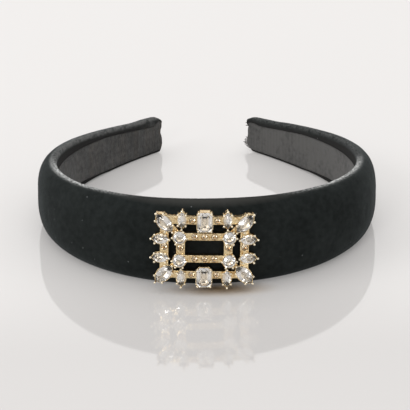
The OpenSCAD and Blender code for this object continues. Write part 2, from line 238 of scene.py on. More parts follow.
# Over the last stretch the padding closes to a share of itself and the width shrinks a little,
# both slowly at first
TIP_REACH = 6
TIP_CLOSE = 0.62
TIP_CLOSE_POWER = 3
TIP_NARROWING = 0.5
TIP_NARROWING_POWER = 4
# How far the soft top edge has settled at the front
FRONT_SETTLED = 0.42
# The folded velvet lifts the upper corner of the left tip more than the right one's
LEFT_FOLD = 1.05
RIGHT_FOLD = 0.3
FOLD_REACH = 24
FOLD_RUN = 18
BLEND_REACH = 16
RIBBON_WIDTH = 16
LOWER_MARGIN = 0.62
UPPER_MARGIN = 3.1
RIBBON_SIDE = 0.15
# Towards the tips the ribbon comes nearer to the lower edge, and its ends stand up over the fold
MARGIN_AT_TIP = 0.45
MARGIN_FROM = 140
MARGIN_TO = 180
LEFT_RISE = 2.2
LEFT_RISE_REACH = 5.5
RIGHT_RISE = 1
RIGHT_RISE_REACH = 9
RISE_RUN = 0.7
# Columns: place as a share of the half length, radius of the inner line, width and padding as
# shares of the way from tip to front, and how square the padded side is
PLACE, RADIUS, WIDTH, PADDING, SQUARE = range(5)
BAND_SECTIONS = np.array([
    (0.00, 68, 1.00, 1.00, 0.05),
    (0.23, 64, 0.88, 0.85, 0.10),
    (0.45, 65, 0.68, 0.72, 0.25),
    (0.65, 82, 0.46, 0.47, 0.20),
    (0.83, 145, 0.21, 0.23, 0.10),
    (1.00, 310, 0.00, 0.00, 0.10),
])
half_length = BAND_LENGTH / 2


def section_value(along, column):
    """A column of the table at places along the band, by straight steps between its rows."""
    return np.interp(np.abs(along) / half_length, BAND_SECTIONS[:, PLACE], BAND_SECTIONS[:, column])


def even_value(along, column):
    """The same evened out over a stretch of the band, so that no step shows."""
    shifts = np.array([-2, -1, 0, 1, 2]) * BLEND_REACH / 2
    return np.mean([section_value(along + shift, column) for shift in shifts], axis=0)


def tip_share(along):
    """How close a place is to the tip, from 0 where the band starts to close in to 1 at the tip."""
    return np.clip((np.abs(along) - half_length + TIP_REACH) / TIP_REACH, 0, 1)


def eased(share):
    """A smooth rise from 0 to 1 as a share goes from 0 to 1."""
    share = np.clip(share, 0, 1)
    return share * share * (3 - 2 * share)


def fold_at(along):
    height = np.where(along < 0, LEFT_FOLD, RIGHT_FOLD)
    return height * eased((np.abs(along) - half_length + FOLD_REACH) / FOLD_RUN)


def width_at(along):
    share = even_value(along, WIDTH)
    narrowing = TIP_NARROWING * tip_share(along) ** TIP_NARROWING_POWER + FRONT_SETTLED * share
    return TIP_WIDTH + (FRONT_WIDTH - TIP_WIDTH) * share + fold_at(along) - narrowing


def padding_at(along):
    padding = TIP_PADDING + (FRONT_PADDING - TIP_PADDING) * even_value(along, PADDING)
    return padding * (1 - (1 - TIP_CLOSE) * tip_share(along) ** TIP_CLOSE_POWER)


def ribbon_edges_at(along):
    """Heights of both edges of the lining ribbon, which is cut narrower towards the tips."""
    room = width_at(along) - fold_at(along)
    half_ribbon = np.minimum(RIBBON_WIDTH, room - LOWER_MARGIN - UPPER_MARGIN) / 2
    middle = (room + LOWER_MARGIN - UPPER_MARGIN) / 2
    drop = (LOWER_MARGIN - MARGIN_AT_TIP) * eased(
        (np.abs(along) - MARGIN_FROM) / (MARGIN_TO - MARGIN_FROM))
    reach = np.where(along < 0, LEFT_RISE_REACH, RIGHT_RISE_REACH)
    rise = np.where(along < 0, LEFT_RISE, RIGHT_RISE) * eased(
        (np.abs(along) - half_length + reach) / (reach * RISE_RUN))
    return middle - half_ribbon - drop, middle + half_ribbon + rise


# The inner line, from the front centre to the tip
LINE_POINTS = 801
line_along = np.linspace(0, half_length, LINE_POINTS)
line_bend = np.interp(
    line_along / half_length, BAND_SECTIONS[:, PLACE], 1 / BAND_SECTIONS[:, RADIUS])
line_step = line_along[1]
line_heading = np.concatenate([[0], np.cumsum((line_bend[1:] + line_bend[:-1]) / 2 * line_step)])
step_heading = (line_heading[1:] + line_heading[:-1]) / 2
line_x = np.concatenate([[0], np.cumsum(np.cos(step_heading) * line_step)])
line_y = np.concatenate([[0], np.cumsum(np.sin(step_heading) * line_step)])
# The band lies on its lower edge, so every section leans back by the same slope
band_slope = (FRONT_WIDTH - TIP_WIDTH) / 2 / line_y[-1]


def fuller(share, square):
    return np.sign(share) * np.abs(share) ** (1 - square)


# The front of the inner line stands where the solid band's foremost point puts it
FRONT_POINTS = 400
front_angle = np.linspace(0, np.pi, FRONT_POINTS)
front_square = BAND_SECTIONS[0, SQUARE]
front_out = FRONT_PADDING * fuller(np.sin(front_angle), front_square)
front_up = FRONT_WIDTH / 2 * (1 + fuller(np.cos(front_angle), front_square))
foremost = np.min(front_up * band_slope - front_out)
line_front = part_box("velvet_band")[0].y / MM - foremost


def path_at(along, forward=0):
    """Points of the inner line in metres, the way out from the head, and the way to the tip."""
    side = np.where(along < 0, -1, 1)
    place = np.abs(along)
    heading = np.interp(place, line_along, line_heading)
    flat = np.zeros_like(place)
    ahead = np.stack([side * np.cos(heading), np.sin(heading), flat], axis=1)
    out = np.stack([side * np.sin(heading), -np.cos(heading), flat], axis=1)
    x = side * np.interp(place, line_along, line_x)
    y = np.interp(place, line_along, line_y) + line_front
    points = np.stack([x, y, flat], axis=1) + ahead * np.reshape(forward, (-1, 1))
    return points * MM, out, ahead


def guide(name, points, **attributes):
    """A mesh of bare points with named values, for a node tree to look up by index."""
    mesh = bpy.data.meshes.new(name)
    mesh.from_pydata([tuple(p) for p in points], [], [])
    for key, values in attributes.items():
        values = np.asarray(values, np.float32)
        kind = "FLOAT" if values.ndim == 1 else "FLOAT_VECTOR"
        field = "value" if values.ndim == 1 else "vector"
        mesh.attributes.new(key, kind, "POINT").data.foreach_set(field, values.ravel())
    return add_object(name, mesh)


def path_guide(name, along, cap, bulge, low_turn, top_turn, bed_low, bed_high):
    """The path of one sweep. cap draws a ring in to its middle, and bulge pushes it forward."""
    points, out, ahead = path_at(along, bulge)
    flat = np.zeros_like(along)
    size = [width_at(along) * MM, padding_at(along) * MM, even_value(along, SQUARE)]
    return guide(
        name, points, out=out, cap=cap, along=along * MM, size=np.stack(size, axis=1),
        turns=np.stack([low_turn * MM, top_turn * MM, flat + 1], axis=1),
        bed=np.stack([bed_low * MM, bed_high * MM, flat], axis=1),
    )


def label(name):
    """The label of a node group's socket, from its name here."""
    return name.replace("_", " ").capitalize()


def tree_inputs(tree, **sockets):
    """Gives a node tree its named inputs and its one output, and returns what comes in."""
    for name, (kind, value) in sockets.items():
        socket = tree.interface.new_socket(
            label(name), in_out="INPUT", socket_type="NodeSocket" + kind)
        if value is not None:
            socket.default_value = value
    tree.interface.new_socket("Geometry", in_out="OUTPUT", socket_type="NodeSocketGeometry")
    return tree.nodes.new("NodeGroupInput").outputs


def finish_tree(tree, geometry, material):
    """Makes a node tree's instances real, gives them their material and puts them out."""
    geometry = add_node(tree, "GeometryNodeRealizeInstances", {"Geometry": geometry}).outputs[0]
    geometry = add_node(
        tree, "GeometryNodeSetMaterial", {"Geometry": geometry, "Material": material}).outputs[0]
    add_node(tree, "NodeGroupOutput", {"Geometry": geometry})


def geometry_of(tree, thing):
    return add_node(tree, "GeometryNodeObjectInfo", {"Object": thing}).outputs["Geometry"]


def noise(tree, place, scale, detail):
    return add_node(tree, "ShaderNodeTexNoise", {
        "Vector": place, "Scale": scale, "Detail": detail}).outputs[0]


def attribute(tree, name, kind="FLOAT"):
    return add_node(
        tree, "GeometryNodeInputNamedAttribute", {"Name": name}, data_type=kind).outputs["Attribute"]


def look_up(tree, geometry, name, index, kind="FLOAT_VECTOR"):
    """The value that a guide's point holds under a name, or its position."""
    if name == "position":
        value = tree.nodes.new("GeometryNodeInputPosition").outputs[0]
    else:
        value = attribute(tree, name, kind)
    inputs = {"Geometry": geometry, "Value": value, "Index": index}
    return add_node(
        tree, "GeometryNodeSampleIndex", inputs, data_type=kind, domain="POINT").outputs["Value"]


def store(tree, geometry, name, value, kind="FLOAT", domain="POINT"):
    inputs = {"Geometry": geometry, "Name": name, "Value": value}
    node = add_node(
        tree, "GeometryNodeStoreNamedAttribute", inputs, data_type=kind, domain=domain)
    return node.outputs["Geometry"]


# Sweeps a section along the band: a grid takes one column for each point of the path guide and
# one row for each point of the section guide, and looks both up
SWELL_DETAIL = 1.5
# Points closer than this are joined, in metres
JOIN_WITHIN = 1e-6
sweep = bpy.data.node_groups.new("band_sweep", "GeometryNodeTree")
given = tree_inputs(
    sweep, path=("Object", None), section=("Object", None), columns=("Int", 2), rows=("Int", 2),
    slope=("Float", 0), rib_pitch=("Float", 0.001), rib_depth=("Float", 0),
    swell=("Float", 0), swell_size=("Float", 0.01), material=("Material", None))
path = geometry_of(sweep, given["Path"])
section = geometry_of(sweep, given["Section"])
grid = add_node(sweep, "GeometryNodeMeshGrid", {
    "Size X": 1, "Size Y": 1, "Vertices X": given["Columns"],
    "Vertices Y": given["Rows"]}).outputs["Mesh"]
# Half a step is added, so that rounding down never starts from a whole number
index = maths(sweep, "ADD", sweep.nodes.new("GeometryNodeInputIndex").outputs[0], 0.5)
column = maths(sweep, "FLOOR", maths(sweep, "DIVIDE", index, given["Rows"]))
row = maths(sweep, "FLOOR", maths(
    sweep, "SUBTRACT", index, times(sweep, column, given["Rows"])))
centre_line, outward, size, turns, bed = (
    look_up(sweep, path, name, column) for name in ("position", "out", "size", "turns", "bed"))
cap, along = (look_up(sweep, path, name, column, "FLOAT") for name in ("cap", "along"))
dome, section_turns, section_bed = (
    look_up(sweep, section, name, row) for name in ("dome", "turns", "bed"))
rim, crest, ribbed = (
    look_up(sweep, section, name, row, "FLOAT") for name in ("rim", "crest", "ribbed"))
width, padding, square = apart(sweep, size)
across, upright, fixed_out = apart(sweep, dome)
fullness = maths(sweep, "SUBTRACT", 1, square)


def fuller_share(share):
    size = maths(sweep, "POWER", maths(sweep, "ABSOLUTE", share), fullness)
    return times(sweep, maths(sweep, "SIGN", share), size)


def placed(out, up):
    """A point of the sweep from its distance out from the inner line and up from the floor."""
    back = times(sweep, up, given["Slope"])
    rise = add_node(sweep, "ShaderNodeCombineXYZ", {"Y": back, "Z": up}).outputs[0]
    return vector_maths(
        sweep, "ADD", vector_maths(sweep, "ADD", centre_line, rise),
        vector_maths(sweep, "SCALE", outward, out))


rib_wave = maths(sweep, "COSINE", maths(
    sweep, "DIVIDE", times(sweep, along, math.tau), given["Rib pitch"]))
rib_height = times(sweep, rib_wave, given["Rib depth"], ribbed)
out = maths(sweep, "ADD", times(sweep, padding, fuller_share(across)), fixed_out)
out = maths(sweep, "SUBTRACT", out, rib_height)
up = times(sweep, width, maths(
    sweep, "DIVIDE", maths(sweep, "ADD", 1, fuller_share(upright)), 2))
for sizes, shares in ((turns, section_turns), (bed, section_bed)):
    up = maths(sweep, "ADD", up, vector_maths(sweep, "DOT_PRODUCT", sizes, shares, output="Value"))
# A ring that closes the end is drawn in towards the middle of the section
middle = placed(maths(sweep, "DIVIDE", padding, 2), maths(sweep, "DIVIDE", width, 2))
point = add_node(
    sweep, "ShaderNodeMix", {0: cap, 4: placed(out, up), 5: middle}, data_type="VECTOR").outputs[1]
uneven = noise(sweep, point, maths(sweep, "DIVIDE", 1, given["Swell size"]), SWELL_DETAIL)
swell = times(sweep, maths(sweep, "SUBTRACT", uneven, 0.5), given["Swell"], fuller_share(across))
point = vector_maths(sweep, "ADD", point, vector_maths(sweep, "SCALE", outward, swell))
cloth = add_node(sweep, "GeometryNodeSetPosition", {"Geometry": grid, "Position": point}).outputs[0]
for name, value in {"along": along, "rim": rim, "crest": crest}.items():
    cloth = store(sweep, cloth, name, value)
pattern = add_node(sweep, "ShaderNodeCombineXYZ", {"X": along, "Y": up}).outputs[0]
cloth = store(sweep, cloth, "UVMap", pattern, "FLOAT2", "CORNER")
cloth = add_node(
    sweep, "GeometryNodeMergeByDistance", {"Geometry": cloth, "Distance": JOIN_WITHIN}).outputs[0]
cloth = add_node(
    sweep, "GeometryNodeSetShadeSmooth", {"Geometry": cloth, "Shade Smooth": True}).outputs[0]
finish_tree(sweep, cloth, given["Material"])


def made_by(name, tree, **values):
    """Runs a node tree with these inputs and keeps what it makes as a plain mesh."""
    carrier = add_object(name + "_carrier", bpy.data.meshes.new(name + "_carrier"))
    modifier = carrier.modifiers.new("build", "NODES")
    modifier.node_group = tree
    for item in tree.interface.items_tree:
        key = item.name.lower().replace(" ", "_")
        if item.in_out == "INPUT" and key in values:
            modifier[item.identifier] = values[key]
    depsgraph = bpy.context.evaluated_depsgraph_get()
    mesh = bpy.data.meshes.new_from_object(carrier.evaluated_get(depsgraph), depsgraph=depsgraph)
    mesh.name = name
    bpy.data.objects.remove(carrier)
    return add_object(name, mesh)


def stations(spacing, caps):
    """Places along the whole band, closer near the tips, with rings that close each end."""
    even = np.arange(0, half_length - TIP_REACH, spacing)
    tip = half_length - TIP_REACH * (1 - np.sin(np.linspace(0, np.pi / 2, TIP_STEPS)))
    half = np.concatenate([even, tip, [half_length] * len(caps)])
    open_rings = np.zeros(len(even) + len(tip))
    cap, bulge = (np.concatenate([open_rings, values]) for values in zip(*caps))
    both = np.concatenate([-half[:0:-1], half])
    return both, np.concatenate([cap[:0:-1], cap]), np.concatenate([bulge[:0:-1], bulge])


# The outline of each tip. Columns: height as a share of the width there, and how far forward the
# edge lies, in mm
LEFT_TIP = np.array([
    (0, -1.6), (0.05, -0.8), (0.13, -0.1), (0.24, 0.3), (0.38, 0), (0.54, -0.8), (0.62, -0.7),
    (0.72, 0), (0.88, 0), (0.93, -0.45), (0.97, -1.3), (1, -2.2)])
RIGHT_TIP = np.array([
    (0, -3.6), (0.06, -1.9), (0.13, -0.3), (0.2, 0.1), (0.34, 0.1), (0.46, -0.5), (0.7, -0.7),
    (0.78, -0.1), (0.94, 0.1), (0.985, -1), (1, -2.2)])
# How far from the tip the outline fades out, and above what share of the height the ribbon's
# right end is cut short, so that the velvet shows beside it
OUTLINE_FADE = 8
SHORT_FROM = 0.74
SHORT_BY = 0.6
# How far the arms' lower edge lifts off the floor
ARM_LIFT = 0.5
LIFT_FROM = 95
LIFT_TO = 160
# The waves that roughen a cut end. Columns: how fast each runs up the end, and where it starts
FRINGE_WAVES = [(97, 0), (171, 1), (53, 2)]
# How quickly the outline's shift and the fringe fade away from the tip
OUTLINE_POWER = 2
FRINGE_POWER = 12


def read_points(mesh):
    points = np.empty(len(mesh.vertices) * 3)
    mesh.vertices.foreach_get("co", points)
    return points.reshape(-1, 3)


def read_values(mesh, name):
    values = np.empty(len(mesh.vertices))
    mesh.attributes[name].data.foreach_get("value", values)
    return values


def shape_tips(made, forward=0, ragged=0, short=0):
    """Moves a sweep's points so that its ends have the tips' outlines, and lifts its lower edge
    towards them. forward shifts the whole end, ragged roughens it and short cuts the upper part
    of the right one back, all in mm."""
    points = read_points(made.data)
    along = read_values(made.data, "along") / MM
    ahead = path_at(along)[2]
    height = np.clip(points[:, 2] / (width_at(along) * MM), 0, 1)
    shift = np.where(
        along < 0, np.interp(height, *LEFT_TIP.T), np.interp(height, *RIGHT_TIP.T)) + forward
    shift -= np.where((height > SHORT_FROM) & (along > 0), short, 0)
    near = np.clip(1 - (half_length - np.abs(along)) / OUTLINE_FADE, 0, 1)
    points += ahead * (shift * near ** OUTLINE_POWER * MM)[:, None]
    fringe = sum(np.sin(height * speed + start) for speed, start in FRINGE_WAVES)
    fringe = ragged * fringe / len(FRINGE_WAVES)
    points += ahead * (fringe * near ** FRINGE_POWER * MM)[:, None]
    points[:, 2] += ARM_LIFT * MM * (1 - height) * eased(
        (np.abs(along) - LIFT_FROM) / (LIFT_TO - LIFT_FROM))
    made.data.vertices.foreach_set("co", points.ravel())


def section_row(across, upright, out=0, up=0, low_turn=0, top_turn=0, bed_low=0, bed_high=0,
                rim=0, crest=0, ribbed=0):
    """One point of a section: where it lies as shares of the band's own sizes, and as an offset
    out and up in mm; and how far it belongs to the turned rim, the crest and the ribbed face."""
    return {
        "dome": (across, upright, out * MM), "turns": (low_turn, top_turn, up * MM),
        "bed": (bed_low, bed_high, 0), "rim": rim, "crest": crest, "ribbed": ribbed}


def section_guide(name, rows):
    values = {key: [row[key] for row in rows] for key in rows[0]}
    return guide(name, np.zeros((len(rows), 3)), **values)


# Rings that round off and close a tip. Columns: share drawn in to the middle, push forward in mm
TIP_CAPS = [(0.08, 0.22), (0.22, 0.4), (0.6, 0.5), (1, 0.5)]
TIP_STEPS = 16
DOME_STEPS = 40
EDGE_STEPS = 8
LIP_STEPS = 4
BAND_SPACING = 1.0
# Radius of the velvet's lip beside the ribbon, and the least flat face between lip and turned edge
LIP = 0.35
LEAST_FACE = 0.2
# How far the crest's painted sheen reaches down the padded side, in radians round the section, and
# how quickly the turned edge's pressed look and painted shade end below it
CREST_REACH = 0.2
RIM_POWER = 6
quarter = np.linspace(0, np.pi / 2, EDGE_STEPS + 1)
lip = np.linspace(0, np.pi / 2, LIP_STEPS + 1)
cover_rows = [section_row(math.sin(a), math.cos(a), crest=math.exp(-(a / CREST_REACH) ** 2))
              for a in np.linspace(0, math.pi, DOME_STEPS + 1)]
cover_rows += [section_row(0, -1, out=-TURNOVER * math.sin(a), low_turn=1 - math.cos(a), rim=1)
               for a in quarter[1:]]
cover_rows += [section_row(0, -1, out=-TURNOVER + LIP * (1 - math.cos(a)),
                           up=LIP * (math.sin(a) - 1), bed_low=1, rim=1) for a in lip]
cover_rows += [section_row(0, -1, bed_low=1, rim=1), section_row(0, -1, bed_high=1, rim=1)]
cover_rows += [section_row(0, -1, out=-TURNOVER + LIP * (1 - math.cos(a)),
                           up=LIP * (1 - math.sin(a)), bed_high=1, rim=1) for a in lip[::-1]]
cover_rows += [section_row(0, 1, out=-TURNOVER * math.cos(a), top_turn=math.sin(a) - 1,
                           rim=math.cos(a) ** RIM_POWER, crest=math.sin(a))
               for a in quarter[:-1]]
cover_rows += [cover_rows[0]]
cover_along, cover_cap, cover_bulge = stations(BAND_SPACING, TIP_CAPS)
ribbon_low, ribbon_high = ribbon_edges_at(cover_along)
bed_low = ribbon_low - RIBBON_SIDE
bed_high = ribbon_high + RIBBON_SIDE
low_turn = np.minimum(EDGE_RADIUS, bed_low - LEAST_FACE)
top_turn = np.minimum(EDGE_RADIUS, width_at(cover_along) - bed_high - LEAST_FACE)


def shader_group(name, outputs, **inputs):
    """An empty shader node group with number inputs and named outputs."""
    group = bpy.data.node_groups.new(name, "ShaderNodeTree")
    for socket, value in inputs.items():
        group.interface.new_socket(
            label(socket), in_out="INPUT", socket_type="NodeSocketFloat").default_value = value
    for socket in outputs:
        group.interface.new_socket(socket, in_out="OUTPUT", socket_type="NodeSocketFloat")
    return group, group.nodes.new("NodeGroupInput").outputs


def use_group(tree, group, **inputs):
    node = tree.nodes.new("ShaderNodeGroup")
    node.node_tree = group
    for name, value in inputs.items():
        node.inputs[label(name)].default_value = value
    return node.outputs


# Mottle, in the velvet, the ribbon and the gold: broad cloudy patches over finer ones
MOTTLE_RANGE = (0.35, 0.7)
mottle, given = shader_group("mottle", ["Patches"], broad=60, fine=420, share=0.5)
place = object_place(mottle)
fine_share = maths(mottle, "SUBTRACT", 1, given["Share"])
patches = maths(
    mottle, "ADD", times(mottle, noise(mottle, place, given["Broad"], detail=3), given["Share"]),
    times(mottle, noise(mottle, place, given["Fine"], detail=4), fine_share))
add_node(mottle, "NodeGroupOutput", {"Patches": spread(mottle, patches, *MOTTLE_RANGE)})

# Lint: small pale specks of dust caught in the cloth, a few in each square centimetre
lint, given = shader_group("lint", ["Specks"], spacing=260, size=0.1, share=0.25)
cells = add_node(lint, "ShaderNodeTexVoronoi", {
    "Vector": object_place(lint), "Scale": given["Spacing"], "Randomness": 1}).outputs
speck = maths(lint, "LESS_THAN", cells["Distance"], given["Size"])
kept = maths(lint, "LESS_THAN", add_node(lint, "ShaderNodeSeparateColor", {
    0: cells["Color"]}).outputs["Red"], given["Share"])
add_node(lint, "NodeGroupOutput", {"Specks": times(lint, speck, kept)})

# Black velvet: a dense short pile, nearly black face on, with a bluish sheen where it is seen edge
# on and brushed patches. The pile is pressed flat where it is turned in, and painted shade dims it
# there. Light is painted on as a warmer black at the top of the front, a paler top to the arms and
# a pale sheen line along the top at both shoulders of the front.
VELVET_BLACK = (0.0112, 0.0136, 0.0131, 1)
VELVET_BRUSHED = (0.0245, 0.0285, 0.028, 1)
# The next four colours are painted light and shade: a warmer black at the top of the front, painted
# light; a paler grey along the top of the arms, a painted sheen; the dim grey of the turned edge,
# painted shade; and a pale line along the crest at the shoulders, a painted sheen
VELVET_RAKED_LIGHT = (0.054, 0.053, 0.049, 1)
VELVET_TOP_SHEEN = (0.125, 0.127, 0.125, 1)
VELVET_RIM_SHADE = (0.027, 0.0265, 0.026, 1)
VELVET_SHEEN_LINE = (0.8, 0.81, 0.8, 1)
SPECK_COLOUR = (0.5, 0.52, 0.54, 1)
SPECK_STRENGTH = 0.3
SHEEN_TINT = (0.74, 0.8, 0.83, 1)
# Each range gives where a look begins and where it is full, and some its strength at either.
# Places are in metres: along the band from the front centre, the left being negative, or up.
SHOULDER_BEGINS = (0.028, 0.06)
SHOULDER_ENDS = (0.085, 0.106, 1, 0.12)
ARM_BEGINS = (0.06, 0.1)
LEFT_TO_RIGHT = (-0.06, 0.06, 1, 0.12)
LEFT_TIP_BEGINS = (-0.181, -0.19)
LEFT_TIP_ABOVE = (0.0095, 0.0125)
RAKED_LIGHT_ABOVE = (0.0335, 0.0362)
RAKED_LIGHT_ENDS = (0.03, 0.075, 1, 0)
SHEEN_ON_CREST = (0.09, 0.13, 0.05, 0.16)
# The same of the crest's and the rim's own values, and of the noises that break the looks up
TOP_SHEEN_CREST = (0.25, 0.7)
SHEEN_OFF_RIM = (0, 0.8, 1, 0.05)
SHEEN_LINE_PATCHES = (0.36, 0.58)
TOP_SHEEN_PATCHES = (0.36, 0.62, 0.25, 1.15)
# How quickly the painted sheen line ends beside the crest
SHEEN_LINE_POWER = 3
# How much painted sheen the top of the left tip gets, and how much of the turned edge's painted
# shade is missing there
LEFT_TIP_SHEEN = 0.55
LEFT_TIP_UNSHADED = 0.7
PLAIN_SHEEN = 0.14
# Scales of the noises, and the shares of the pile's ends and of the nap in the grain
SHEEN_LINE_SCALE = 1150
TOP_SHEEN_SCALE = 480
PILE_SCALE = 6500
NAP_SCALE = 900
PILE_SHARE = 0.6
NAP_SHARE = 0.5
BUMP_STRENGTH = 0.5
BUMP_DEPTH = 0.0002


def cloth_bump(tree, height):
    return add_node(tree, "ShaderNodeBump", {
        "Height": height, "Strength": BUMP_STRENGTH, "Distance": BUMP_DEPTH}).outputs[0]


velvet, tree, shader = new_material(
    "black_velvet", roughness=0.95, sheen_roughness=0.35, sheen_tint=SHEEN_TINT,
    specular_ior_level=0.05)
place = object_place(tree)
height_here = apart(tree, place)["Z"]
rim_here, crest_here, along_here = (
    add_node(tree, "ShaderNodeAttribute", attribute_name=name).outputs["Fac"]
    for name in ("rim", "crest", "along"))
from_front = maths(tree, "ABSOLUTE", along_here)
brushed = use_group(tree, mottle, broad=55, fine=400)["Patches"]
# A painted sheen line: a pale colour painted along the crest at both shoulders of the front, where the
# pile catches the light
shoulder = times(tree, spread(tree, from_front, *SHOULDER_BEGINS),
                 spread(tree, from_front, *SHOULDER_ENDS))
sheen_line = times(tree, maths(tree, "POWER", crest_here, SHEEN_LINE_POWER), shoulder,
               spread(tree, noise(tree, place, SHEEN_LINE_SCALE, detail=5), *SHEEN_LINE_PATCHES))
# A painted sheen: the arms are painted paler along the top, the left one more than the right and
# most at its tip
arm = times(tree, spread(tree, from_front, *ARM_BEGINS), spread(tree, along_here, *LEFT_TO_RIGHT))
left_tip = times(tree, spread(tree, along_here, *LEFT_TIP_BEGINS),
                 spread(tree, height_here, *LEFT_TIP_ABOVE))
top_sheen = maths(tree, "MAXIMUM", spread(tree, crest_here, *TOP_SHEEN_CREST),
              times(tree, left_tip, LEFT_TIP_SHEEN))
top_sheen = times(tree, arm, top_sheen, spread(
    tree, noise(tree, place, TOP_SHEEN_SCALE, detail=5), *TOP_SHEEN_PATCHES))
# Painted light: the front is painted a warmer, paler black towards the top, where the light rakes
# the pile
raked_light = times(tree, spread(tree, height_here, *RAKED_LIGHT_ABOVE), spread(tree, from_front, *RAKED_LIGHT_ENDS))
# Painted shade: the turned edge, where the pile is pressed flat and faces inwards, takes a dim grey,
# darker than the arms' painted top; the left tip keeps less of it
rim_shade = times(tree, rim_here, maths(
    tree, "SUBTRACT", 1, times(tree, left_tip, LEFT_TIP_UNSHADED)))
specks = use_group(tree, lint, spacing=420, size=0.1, share=0.12)["Specks"]
colour = blend_colours(tree, brushed, VELVET_BLACK, VELVET_BRUSHED)
for share, look in ((raked_light, VELVET_RAKED_LIGHT), (top_sheen, VELVET_TOP_SHEEN), (rim_shade, VELVET_RIM_SHADE),
                    (sheen_line, VELVET_SHEEN_LINE), (times(tree, specks, SPECK_STRENGTH), SPECK_COLOUR)):
    colour = blend_colours(tree, share, colour, look)
feed(shader, "Base Color", colour)
# The sheen is strongest on the brushed crest of the arms, and gone where the pile is pressed
sheen = maths(tree, "ADD", PLAIN_SHEEN, times(
    tree, crest_here, spread(tree, from_front, *SHEEN_ON_CREST)))
feed(shader, "Sheen Weight", times(tree, sheen, spread(tree, rim_here, *SHEEN_OFF_RIM)))
# The ends of the pile make a fine grain, and its nap lies in softer waves
grain = maths(tree, "ADD", times(tree, noise(tree, place, PILE_SCALE, detail=2), PILE_SHARE),
              times(tree, noise(tree, place, NAP_SCALE, detail=3), NAP_SHARE))
feed(shader, "Normal", cloth_bump(tree, grain))

cover = made_by(
    "velvet_cover", sweep,
    path=path_guide("cover_path", cover_along, cover_cap, cover_bulge,
                    low_turn, top_turn, bed_low, bed_high),
    section=section_guide("cover_section", cover_rows),
    columns=len(cover_along), rows=len(cover_rows), slope=band_slope,
    swell=0.0006, swell_size=0.018, material=velvet)
shape_tips(cover, forward=-0.2)

# The foam swells the velvet out between its glued edges. The cover starts a little too small, and
# a short run of cloth blows it up; it is held where it is turned in and at the tips, and it can't
# come further out than its own shape by more than a little, or at all under the buckle.
SHRUNK_BY = 0.3
FOAM_PRESSURE = 4
FOAM_FRAMES = 20
FURTHEST_OUT = 0.2
BUCKLE_REACH = 20
HELD_AT_TIP = 12


def swell_out(padded):
    """Runs the cloth, and moves each point of the cover as far as it went along its normal."""
    mesh = padded.data
    shape = read_points(mesh)
    normals = np.empty(shape.size)
    mesh.vertex_normals.foreach_get("vector", normals)
    normals = normals.reshape(-1, 3)
    places = np.abs(read_values(mesh, "along")) / MM
    near_tip = eased((places - half_length + 2 * HELD_AT_TIP) / HELD_AT_TIP)
    free = (1 - read_values(mesh, "rim")) * (1 - near_tip)
    mesh.vertices.foreach_set("co", (shape - normals * (free * SHRUNK_BY * MM)[:, None]).ravel())
    held = padded.vertex_groups.new(name="held")
    for vertex, share in enumerate(free):
        held.add([vertex], 1 - share, "REPLACE")
    cloth = padded.modifiers.new("foam", "CLOTH")
    cloth.settings.vertex_group_mass = "held"
    cloth.settings.use_pressure = True
    cloth.settings.uniform_pressure_force = FOAM_PRESSURE
    cloth.settings.effector_weights.gravity = 0
    for number in range(1, FOAM_FRAMES + 1):
        scene.frame_set(number)
    blown = read_points(padded.evaluated_get(bpy.context.evaluated_depsgraph_get()).data)
    scene.frame_set(1)
    padded.modifiers.remove(cloth)
    padded.vertex_groups.remove(held)
    gone = np.sum((blown - shape) * normals, axis=1)
    furthest = FURTHEST_OUT * MM * eased((places - BUCKLE_REACH) / BUCKLE_REACH)
    gone = np.clip(gone, -SHRUNK_BY * MM, furthest) * free
    swollen = shape + normals * gone[:, None]
    # The floor stops the lower edge
    swollen[:, 2] = np.maximum(swollen[:, 2], 0)
    mesh.vertices.foreach_set("co", swollen.ravel())
    mesh.update()


swell_out(cover)
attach(cover, "root")
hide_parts("velvet_band")

# The pile: short tufts standing up from the cloth, close along the crest, where they soften its
# edge against the light, and sparse below it. The rest of the pile is in the velvet's bump.
TUFT_SIDES = 3
# Shares of a tuft's length: how deep it stands in the cloth, and the shortest and the longest
TUFT_SUNK = 0.1
TUFT_SHORTEST = 0.5
TUFT_LONGEST = 1.2
# How quickly the close tufts thin out beside the crest
CLOSE_POWER = 6
pile = bpy.data.node_groups.new("velvet_pile", "GeometryNodeTree")
given = tree_inputs(
    pile, cloth=("Object", None), tuft_length=("Float", 0.0005), tuft_width=("Float", 0.0001),
    tufts_on_crest=("Float", 1e7), tufts_below=("Float", 1e6), clear_of_buckle=("Float", 0.02),
    clear_of_floor=("Float", 0.001), lean=("Float", 0.5), seed=("Int", 1),
    material=("Material", None))
ground = geometry_of(pile, given["Cloth"])
beyond_buckle = maths(
    pile, "GREATER_THAN", maths(pile, "ABSOLUTE", attribute(pile, "along")), given["Clear of buckle"])
height = apart(pile, pile.nodes.new("GeometryNodeInputPosition").outputs[0])["Z"]
off_floor = maths(pile, "GREATER_THAN", height, given["Clear of floor"])
on_face = times(pile, maths(pile, "SUBTRACT", 1, attribute(pile, "rim")), beyond_buckle, off_floor)
on_crest = maths(pile, "POWER", attribute(pile, "crest"), CLOSE_POWER)
closeness = maths(pile, "ADD", times(pile, given["Tufts below"], on_face),
                  times(pile, given["Tufts on crest"], on_crest))
roots = add_node(pile, "GeometryNodeDistributePointsOnFaces", {
    "Mesh": ground, "Density": closeness, "Seed": given["Seed"]}).outputs
tuft = add_node(pile, "GeometryNodeMeshCone", {
    "Vertices": TUFT_SIDES, "Radius Top": 0, "Depth": given["Tuft length"],
    "Radius Bottom": maths(pile, "DIVIDE", given["Tuft width"], 2)}).outputs["Mesh"]
sunk = add_node(pile, "ShaderNodeCombineXYZ", {
    "Z": times(pile, given["Tuft length"], -TUFT_SUNK)}).outputs[0]
